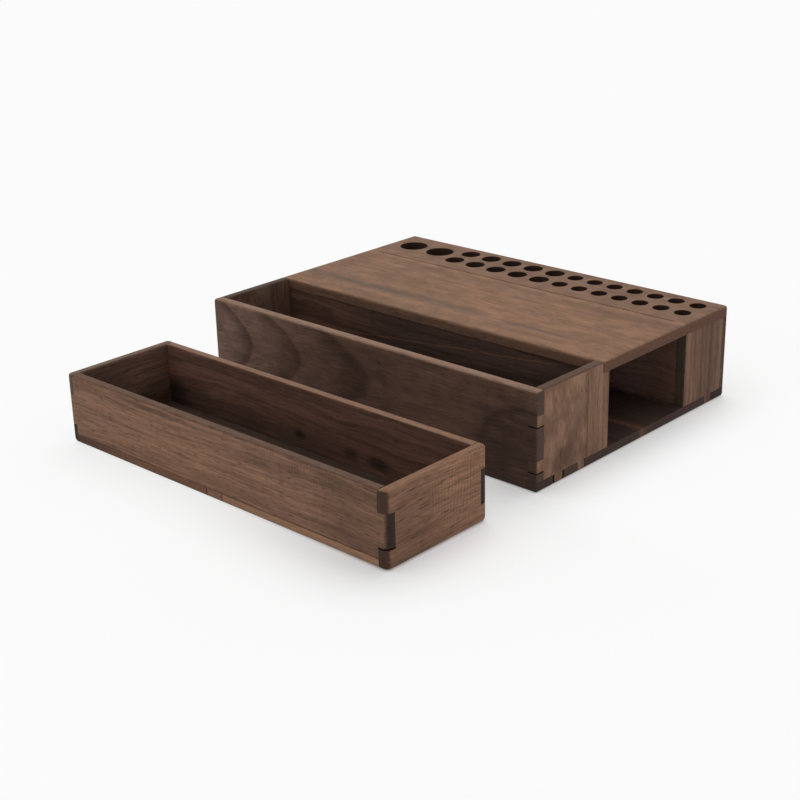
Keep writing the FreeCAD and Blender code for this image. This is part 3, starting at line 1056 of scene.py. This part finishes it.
@dataclass
class Assembly:
    """What the case and the drawer share: their sizes, roundings and finishing.

    Attributes:
        body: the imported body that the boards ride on.
        corner_radius: radius of the upright outer corners.
        top_radius: radius of the upper outer edges.
        foot_radius: radius of the lower outer edges.
        rim_radius: radius of the inner upper edges.
        joint_radius: easing of all other edges, which shows at the joints.
        segments: faces across each rounding.
        wall: thickness of the outer boards.
        middle_tab: width of the tab in the middle of the long boards.
        middle_slack: gap at each side of that tab.
    """

    body: str
    corner_radius: float
    top_radius: float
    foot_radius: float
    rim_radius: float = 0.8 * MM
    joint_radius: float = 0.18 * MM
    segments: int = 6
    wall: float = 7.0 * MM
    middle_tab: float = 14.0 * MM
    middle_slack: float = 0.5 * MM

    def outer_box(self) -> tuple[Vector, Vector]:
        """Lowest and highest corner of the whole assembly."""
        raise NotImplementedError

    def boards(self) -> Iterator[Board]:
        """The boards, each with its slab, its joints and its wood."""
        raise NotImplementedError

    def special_radius(self, place: Vector) -> float:
        """Radius of an inner edge that has one of its own, or 0."""
        raise NotImplementedError

    def cut_openings(self, board: Board) -> None:
        """Cut what is bored or grooved into a board."""

    def outer_planes(self, place: Vector, axes: Sequence[int] = (0, 1, 2)) -> int:
        """How many of the outer planes that are square to some axes a place lies on."""
        low, high = self.outer_box()
        return sum(near(place[axis], low[axis], high[axis]) for axis in axes)

    def radius_at(self, place: Vector) -> float:
        """Choose how far an edge is rounded.

        Args:
            place: the edge's middle.

        Returns:
            The radius, or 0 for an edge of a joint.
        """
        if self.outer_planes(place, (0, 1)) == 2:
            return self.corner_radius
        if self.outer_planes(place) >= 2:
            low, high = self.outer_box()
            return self.top_radius if place.z > (low.z + high.z) / 2 else self.foot_radius
        return self.special_radius(place)

    def middle_span(self, slack: float = 0.0) -> list[Span]:
        """Place the long boards' middle tab, or its slot.

        Args:
            slack: gap at each side of the tab, if the slot is wanted.

        Returns:
            The one X span.
        """
        low, high = self.outer_box()
        middle, half = (low.x + high.x) / 2, self.middle_tab / 2 + slack
        return [(middle - half, middle + half)]

    def build(self) -> Iterator[Board]:
        """Model and dress the boards, and tie each to its body and its node.

        Returns:
            The finished boards, one by one.
        """
        for board in self.boards():
            board.model()
            board.round_arrises(self.radius_at, self.joint_radius, self.segments)
            self.cut_openings(board)
            board.smooth()
            board.piece.data.materials.clear()
            board.piece.data.materials.append(board.finish.material(board.node))
            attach(board.piece, self.body)
            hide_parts(board.node)
            yield board


@dataclass
class Case(Assembly):
    """The case: an open tray, a tunnel for the drawer and a closed pen well under the top board.

    Attributes:
        front_corner_radius: radius of the two upright corners at the front.
        pin_shares: the end boards' pins, as shares of what stands on the bottom board.
        pin_slack: gap under each pin.
        wide_tab_shares: tabs of the wide staves, as shares of the tray end's wide stave and wall.
        wide_tab_slacks: gap at each side of those tabs.
        rear_tab_share: tab of the rear end boards, as a share of their width and wall, from the rear.
        rear_tab_slack: gap at each side of that tab.
        notch_slack: gap between the narrow stave and the top board.
        hole_ease: rounding of the pen holes' rims.
        hole_sides: sides of the holes.
        groove_width: width of the stopped groove in front of the holes.
        groove_depth: its depth.
        groove_ease: rounding of its edges.
    """

    body: str = "case"
    corner_radius: float = 3.5 * MM
    top_radius: float = 2.2 * MM
    foot_radius: float = 2.2 * MM
    front_corner_radius: float = 1.2 * MM
    pin_shares: tuple[Span, ...] = ((0.105, 0.238), (0.616, 0.738))
    pin_slack: float = 0.5 * MM
    wide_tab_shares: tuple[Span, ...] = ((0.351, 0.506), (0.811, 0.943))
    wide_tab_slacks: tuple[float, ...] = (1.6 * MM, 0.3 * MM)
    rear_tab_share: Span = (0.345, 0.495)
    rear_tab_slack: float = 0.3 * MM
    notch_slack: float = 0.6 * MM
    hole_ease: float = 0.35 * MM
    hole_sides: int = 64
    groove_width: float = 0.8 * MM
    groove_depth: float = 0.7 * MM
    groove_ease: float = 0.2 * MM

    def __post_init__(self) -> None:
        """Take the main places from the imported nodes."""
        self.front, self.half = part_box("case_front_board")[0].y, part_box("case_front_board")[1].x
        self.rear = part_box("case_rear_board")[1].y
        self.inner = self.half - self.wall
        top_low, top_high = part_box("top_board")
        self.top_front, self.shelf, self.height = top_low.y, top_low.z, top_high.z
        _, self.stave_seam, self.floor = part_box("bottom_front_stave")[1]
        self.end_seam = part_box("right_tray_end_wide_stave")[1].y
        self.tunnel_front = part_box("right_tray_end_narrow_stave")[1].y
        self.tunnel_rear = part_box("right_rear_end_board")[0].y

    def outer_box(self) -> tuple[Vector, Vector]:
        """Lowest and highest corner of the case."""
        return Vector((-self.half, self.front, 0)), Vector((self.half, self.rear, self.height))

    def radius_at(self, place: Vector) -> float:
        """Choose how far an edge is rounded. The front corners are sharper than the rear ones.

        Args:
            place: the edge's middle.

        Returns:
            The radius, or 0 for an edge of a joint.
        """
        if self.outer_planes(place, (0, 1)) == 2 and near(place.y, self.front):
            return self.front_corner_radius
        return super().radius_at(place)

    def special_radius(self, place: Vector) -> float:
        """Choose the radius of the tray's rim, the tunnel's mouths and the top board's front edge.

        Args:
            place: the edge's middle.

        Returns:
            The radius, or 0 for any other edge.
        """
        at_top = near(place.z, self.height)
        if at_top and near(place.y, self.top_front):
            return self.top_radius
        inner_front = self.front + self.wall
        on_front = near(place.y, inner_front) and abs(place.x) < self.inner - TOUCH
        on_end = near(abs(place.x), self.inner) and place.y > inner_front + TOUCH
        at_mouth = near(place.y, self.tunnel_front, self.tunnel_rear) and near(abs(place.x), self.half)
        return self.rim_radius if at_mouth or at_top and (on_front or on_end) else 0.0

    def pins(self, slack: float = 0.0) -> list[Span]:
        """Place the pins of the end boards.

        Args:
            slack: gap under each pin, if the room for it is wanted.

        Returns:
            Their Z spans.
        """
        standing = self.height - self.floor
        return [(self.floor + low * standing - slack, self.floor + high * standing)
                for low, high in self.pin_shares]

    def wide_tabs(self, slacks: Sequence[float] = (0.0, 0.0)) -> list[Span]:
        """Place the wide staves' tabs, or their slots.

        Args:
            slacks: gaps at each side of the tabs, if the slots are wanted.

        Returns:
            Their Y spans.
        """
        width = self.end_seam - self.front
        return [(self.front + low * width - slack, self.front + high * width + slack)
                for (low, high), slack in zip(self.wide_tab_shares, slacks)]

    def rear_tabs(self, slack: float = 0.0) -> list[Span]:
        """Place the rear end boards' tab, or its slot.

        Args:
            slack: gap at each side of the tab, if the slot is wanted.

        Returns:
            The one Y span.
        """
        width = self.rear - self.tunnel_rear
        low, high = self.rear_tab_share
        return [(self.rear - high * width - slack, self.rear - low * width + slack)]

    def long_boards(self) -> Iterator[Board]:
        """Lay out the front and the rear board, with fingers between the ends' pins and a tab below.

        Returns:
            The two boards.
        """
        pulls = [*(Pull(end, self.wall, Axis.Z, between(self.pins(self.pin_slack))) for end in ENDS),
                 Pull(Side.BOTTOM, self.floor, Axis.X, self.middle_span())]
        for node, y, top, finish in (
                ("case_front_board", (self.front, self.front + self.wall), self.height, GREY_FRONT),
                ("case_rear_board", (self.rear - self.wall, self.rear), self.shelf, GREY_REAR)):
            yield Board(node, (-self.inner, self.inner), y, (self.floor, top), finish, pulls)

    def bottom_staves(self) -> Iterator[Board]:
        """Lay out the two staves of the bottom board, with slots for the tabs.

        Returns:
            The two boards.
        """
        middle = between(self.middle_span(self.middle_slack))
        for node, outer, y, slots, finish in (
                ("bottom_front_stave", Side.FRONT, (self.front + self.wall, self.stave_seam),
                 self.wide_tabs(self.wide_tab_slacks), FRONT_STAVE),
                ("bottom_rear_stave", Side.REAR, (self.stave_seam, self.rear - self.wall),
                 self.rear_tabs(self.rear_tab_slack), REAR_STAVE)):
            pulls = [Pull(outer, self.wall, Axis.X, middle),
                     *(Pull(end, self.wall, Axis.Y, between(slots)) for end in ENDS)]
            yield Board(node, (-self.inner, self.inner), y, (0.0, self.floor), finish, pulls)

    def end_boards(self, end: Side, wide: WalnutFinish, narrow: WalnutFinish) -> Iterator[Board]:
        """The tray's two staves and the pen well's board at one end of the case.

        Args:
            end: the end of the case.
            wide: wood of the wide stave.
            narrow: wood of the narrow stave.

        Returns:
            The boards, from the front to the rear.
        """
        name, pins = end.name.lower(), self.pins()
        x = tuple(sorted((end.sign * self.inner, end.sign * self.half)))
        yield Board(name + "_tray_end_wide_stave", x, (self.front + self.wall, self.end_seam),
                    (self.floor, self.height), wide,
                    (Pull(Side.FRONT, self.wall, Axis.Z, pins),
                     Pull(Side.BOTTOM, self.floor, Axis.Y, self.wide_tabs())))
        notch = (-FAR, self.top_front - self.notch_slack)
        yield Board(name + "_tray_end_narrow_stave", x, (self.end_seam, self.tunnel_front),
                    (self.floor, self.shelf), narrow,
                    (Pull(Side.TOP, self.height - self.shelf, Axis.Y, [notch]),))
        yield Board(name + "_rear_end_board", x, (self.tunnel_rear, self.rear - self.wall),
                    (self.floor, self.shelf), STREAKED_END,
                    (Pull(Side.REAR, self.wall, Axis.Z, pins),
                     Pull(Side.BOTTOM, self.floor, Axis.Y, self.rear_tabs())))

    def boards(self) -> Iterator[Board]:
        """Lay out the case's boards. The two inner walls and the top board are plain slabs.

        Returns:
            The boards, in the order of building.
        """
        yield from self.long_boards()
        yield from self.bottom_staves()
        for node, finish in (("tray_back_wall", INNER_DARK), ("tunnel_rear_wall", TUNNEL_DARK)):
            yield Board(node, *zip(*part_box(node)), finish)
        # The left end's boards take the darker copies, whose tones paint the shade on their inner faces.
        yield from self.end_boards(Side.LEFT, SHADED_LEFT_MOTTLED, SHADED_LEFT_TAN)
        yield from self.end_boards(Side.RIGHT, MOTTLED_END, TAN_END)
        yield Board("top_board", *zip(*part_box("top_board")), ROSY_TOP)

    def hole_cutter(self, middle: Vector, radius: float) -> bpy.types.Object:
        """Model the shape of one pen hole, which opens in a rounded rim.

        Args:
            middle: the hole's middle.
            radius: its radius.

        Returns:
            The cutter.
        """
        low, high = self.shelf - self.wall, self.height - self.hole_ease
        bpy.ops.object.select_all(action="DESELECT")
        bpy.ops.mesh.primitive_cylinder_add(vertices=self.hole_sides, radius=radius, depth=high - low,
                                            location=(middle.x, middle.y, (low + high) / 2))
        bpy.ops.object.transform_apply(location=True, rotation=False, scale=False)
        cutter = bpy.context.object
        edit(cutter)
        select_faces(cutter, lambda face: face.normal.z > FACING)
        wide, level = radius, 0.0
        for step in range(1, self.segments + 1):
            angle = math.radians(90) * step / self.segments
            wider = radius + self.hole_ease * (1 - math.cos(angle))
            higher = self.hole_ease * math.sin(angle)
            extrude(0, 0, higher - level)
            bpy.ops.transform.resize(value=(wider / wide, wider / wide, 1),
                                     center_override=(middle.x, middle.y, self.height))
            wide, level = wider, higher
        extrude(0, 0, self.wall)
        bpy.ops.object.mode_set(mode="OBJECT")
        return cutter

    def groove_cutter(self, reach: float) -> bpy.types.Object:
        """Model the shape of the stopped groove in front of the pen holes.

        Args:
            reach: how far it runs to each side of the middle.

        Returns:
            The cutter.
        """
        half, depth = self.groove_width / 2, self.groove_depth
        cutter = add_slab((-reach, reach), (self.tunnel_rear - half, self.tunnel_rear + half),
                          (self.height - depth, self.height + depth))
        edit(cutter)
        bpy.ops.mesh.bevel(offset=self.groove_ease, segments=EASE_SEGMENTS, affect="EDGES")
        bpy.ops.object.mode_set(mode="OBJECT")
        return cutter

    def cut_openings(self, board: Board) -> None:
        """Cut the pen holes and the groove into the top board.

        Args:
            board: the board at hand. Any other than the top board stays whole.
        """
        if board.node != "top_board":
            return
        cutters, reach = [], 0.0
        for opening in frame["record"]["physics"]["openings"]:
            word = next((size.name for size in HoleSize if size.name + "_hole" in opening["name"]), None)
            if word:
                low, high = (Vector(corner) for corner in opening["box_m"])
                middle, radius = (low + high) / 2, HoleSize[word].value / 2
                cutters.append(self.hole_cutter(middle, radius))
                reach = max(reach, abs(middle.x) + radius)
        board.cut([*cutters, self.groove_cutter(reach)])


@dataclass
class Drawer(Assembly):
    """The drawer, which stands in front of the case.

    Attributes:
        finger_share: the long boards' fingers, as a share of the drawer's height.
        finger_slack: gap under each finger.
    """

    body: str = "drawer"
    corner_radius: float = 5.0 * MM
    top_radius: float = 2.5 * MM
    foot_radius: float = 3.5 * MM
    finger_share: Span = (0.28, 0.72)
    finger_slack: float = 0.8 * MM

    def __post_init__(self) -> None:
        """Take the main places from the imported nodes."""
        self.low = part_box("drawer_left_end")[0]
        self.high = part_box("drawer_right_end")[1]
        self.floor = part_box("drawer_bottom")[1].z

    def outer_box(self) -> tuple[Vector, Vector]:
        """Lowest and highest corner of the drawer."""
        return self.low, self.high

    def special_radius(self, place: Vector) -> float:
        """Choose the radius of the drawer's inner rim.

        Args:
            place: the edge's middle.

        Returns:
            The radius, or 0 for any other edge.
        """
        spans = [(self.low[axis] + self.wall, self.high[axis] - self.wall) for axis in (0, 1)]
        inside = [low - TOUCH <= place[axis] <= high + TOUCH for axis, (low, high) in enumerate(spans)]
        on_line = any(near(place[axis], *spans[axis]) and inside[1 - axis] for axis in (0, 1))
        return self.rim_radius if near(place.z, self.high.z) and on_line else 0.0

    def boards(self) -> Iterator[Board]:
        """Lay out the drawer's boards.

        Returns:
            The boards, in the order of building.
        """
        wall, (left, front, _), (right, rear, top) = self.wall, self.low, self.high
        x, y = (left + wall, right - wall), (front + wall, rear - wall)
        low, high = (share * top for share in self.finger_share)
        pulls = [*(Pull(end, wall, Axis.Z, [(low, high)]) for end in ENDS),
                 Pull(Side.BOTTOM, self.floor, Axis.X, self.middle_span())]
        yield Board("drawer_front_board", x, (front, front + wall), (self.floor, top), DRAWER_FRONT, pulls)
        yield Board("drawer_rear_board", x, (rear - wall, rear), (self.floor, top), DRAWER_REAR, pulls)
        notched = between([(low - self.finger_slack, high)])
        pulls = [Pull(side, wall, Axis.Z, notched) for side in LONG_SIDES]
        # The left end takes the darker copy, which paints the shade on its inner face.
        yield Board("drawer_left_end", (left, left + wall), y, (0.0, top), SHADED_DRAWER_LEFT, pulls)
        yield Board("drawer_right_end", (right - wall, right), y, (0.0, top), DRAWER_END, pulls)
        slotted = between(self.middle_span(self.middle_slack))
        pulls = [Pull(side, wall, Axis.X, slotted) for side in LONG_SIDES]
        yield Board("drawer_bottom", x, y, (0.0, self.floor), DRAWER_FLOOR, pulls)


# The studio


def direction(azimuth: float, elevation: float) -> Vector:
    """Unit vector that is turned from +Y towards -X and then lifted, both in degrees."""
    turn, lift = math.radians(azimuth), math.radians(elevation)
    return Vector((-math.sin(turn) * math.cos(lift), math.cos(turn) * math.cos(lift), math.sin(lift)))


def background_share(graph: Graph) -> Socket:
    """Tell the rays that see the background from those that light the object.

    Args:
        graph: the graph of the material or world.

    Returns:
        1 for rays from the camera, off gloss or through glass, and 0 for all others.
    """
    rays = graph.node("LightPath").outputs
    seen = graph.math("MAXIMUM", rays["Is Camera Ray"], rays["Is Glossy Ray"])
    return graph.math("MAXIMUM", seen, rays["Is Transmission Ray"])


@dataclass
class Studio:
    """Camera, floor and light.

    Attributes:
        camera_place: where the camera stands.
        azimuth: direction it looks in, turned from +Y towards -X, in degrees.
        elevation: how far it looks down, in degrees.
        roll: how far it is turned about its own axis, in degrees.
        lens: focal length in mm.
        sensor: width of the sensor in mm.
        sight: nearest and furthest distance that it sees.
        floor_size: side of the floor.
        floor_colour: colour of the floor.
        white: how bright the background shows.
        fill: share of the shadow that is filled with white at the left.
        fill_span: X places between which that fill comes in.
        rear_fill: the same share against the case's end and away from it.
        rear_reach: distance from the case's end over which it comes in.
        rear_span: Y places between which it comes in.
        sky: strength of the light from all round.
        lamps: strength, width, azimuth and elevation of each lamp, in degrees.
    """

    camera_place: tuple[float, float, float] = (0.67752, -0.79540, 0.40598)
    azimuth: float = 43.147
    elevation: float = 21.586
    roll: float = -1.356
    lens: float = 68.33
    sensor: float = 36.0
    sight: Span = (0.01, 100.0)
    floor_size: float = 40.0
    floor_colour: Colour = (0.80, 0.80, 0.80)
    white: float = 0.965
    fill: float = 0.72
    fill_span: Span = (0.17, -0.03)
    rear_fill: Span = (0.1, 0.85)
    rear_reach: float = 0.055
    rear_span: Span = (-0.15, -0.10)
    sky: float = 0.47
    lamps: tuple[tuple[float, float, float, float], ...] = ((1.25, 90.0, -150.0, 80.0),
                                                           (0.5, 40.0, -155.0, 60.0))

    def add_camera(self) -> None:
        """Add the camera at the photograph's view."""
        data = bpy.data.cameras.new("view")
        data.sensor_width, data.lens = self.sensor, self.lens
        data.clip_start, data.clip_end = self.sight
        camera = bpy.data.objects.new("view", data)
        bpy.context.scene.collection.objects.link(camera)
        turn, roll = math.radians(self.azimuth), math.radians(self.roll)
        ahead = direction(self.azimuth, -self.elevation)
        right = Vector((math.cos(turn), math.sin(turn), 0))
        up = right.cross(ahead)
        rolled = (math.cos(roll) * right + math.sin(roll) * up, math.cos(roll) * up - math.sin(roll) * right)
        camera.matrix_world = Matrix((*rolled, -ahead)).transposed().to_4x4()
        camera.location = self.camera_place
        bpy.context.scene.camera = camera

    def _fill_share(self, graph: Graph) -> Socket:
        """Work out how much of the floor's shadow is filled with white.

        Args:
            graph: the floor's graph.

        Returns:
            The share, by place.
        """
        apart = graph.parts(graph.node("TexCoord").outputs["Object"])
        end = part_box("case_front_board")[1][0]
        out = graph.math("ABSOLUTE", apart[0])
        beside = graph.fade(out, end, end + self.rear_reach, *self.rear_fill)
        beside = graph.math("MULTIPLY", beside, graph.fade(apart[1], *self.rear_span))
        return graph.math("MAXIMUM", graph.fade(apart[0], *self.fill_span, 0.0, self.fill), beside)

    def add_floor(self) -> None:
        """Add the pale floor, which takes the object's shadow."""
        bpy.ops.object.select_all(action="DESELECT")
        bpy.ops.mesh.primitive_plane_add(size=self.floor_size, location=(0, 0, 0))
        floor = bpy.context.object
        floor.name = "floor"
        material = bpy.data.materials.new("floor_paper")
        graph = Graph.of(material)
        shown = background_share(graph)
        lift = graph.math("MULTIPLY", shown, self.white - self.floor_colour[0])
        paper = graph.node("BsdfDiffuse", {"Color": self.floor_colour}).outputs[0]
        glow = graph.node("Emission", {"Color": WHITE, "Strength": lift}).outputs[0]
        plain = graph.node("Emission", {"Color": WHITE, "Strength": self.white}).outputs[0]
        both = graph.node("AddShader", {0: paper, 1: glow}).outputs[0]
        filled = graph.math("MULTIPLY", self._fill_share(graph), shown)
        mixed = graph.node("MixShader", {0: filled, 1: both, 2: plain}).outputs[0]
        graph.node("OutputMaterial", {"Surface": mixed})
        floor.data.materials.append(material)

    def add_light(self) -> None:
        """Add the soft light: a plain sky and broad lamps."""
        world = bpy.data.worlds.new("sky")
        graph = Graph.of(world)
        strength = graph.math("MULTIPLY_ADD", background_share(graph), self.white - self.sky, self.sky)
        sky = graph.node("Background", {"Color": WHITE, "Strength": strength})
        graph.node("OutputWorld", {"Surface": sky.outputs[0]})
        bpy.context.scene.world = world
        for number, (power, width, turn, height) in enumerate(self.lamps, 1):
            data = bpy.data.lights.new("lamp_%d" % number, "SUN")
            data.energy, data.angle = power, math.radians(width)
            lamp = bpy.data.objects.new(data.name, data)
            bpy.context.scene.collection.objects.link(lamp)
            lamp.rotation_mode = "QUATERNION"
            lamp.rotation_quaternion = (-direction(turn, -height)).to_track_quat("Z", "Y")


def main() -> None:
    """Build the studio and the object, and report each piece."""
    logging.basicConfig(level=logging.INFO, format="%(message)s")
    bpy.context.scene.view_settings.view_transform = "Standard"
    studio = Studio()
    studio.add_camera()
    studio.add_floor()
    studio.add_light()
    for assembly in (Case(), Drawer()):
        for board in assembly.build():
            LOG.info("%s: %d faces, rides on %s", board.piece.name, len(board.piece.data.polygons),
                     assembly.body)


if __name__ == "__main__":
    main()
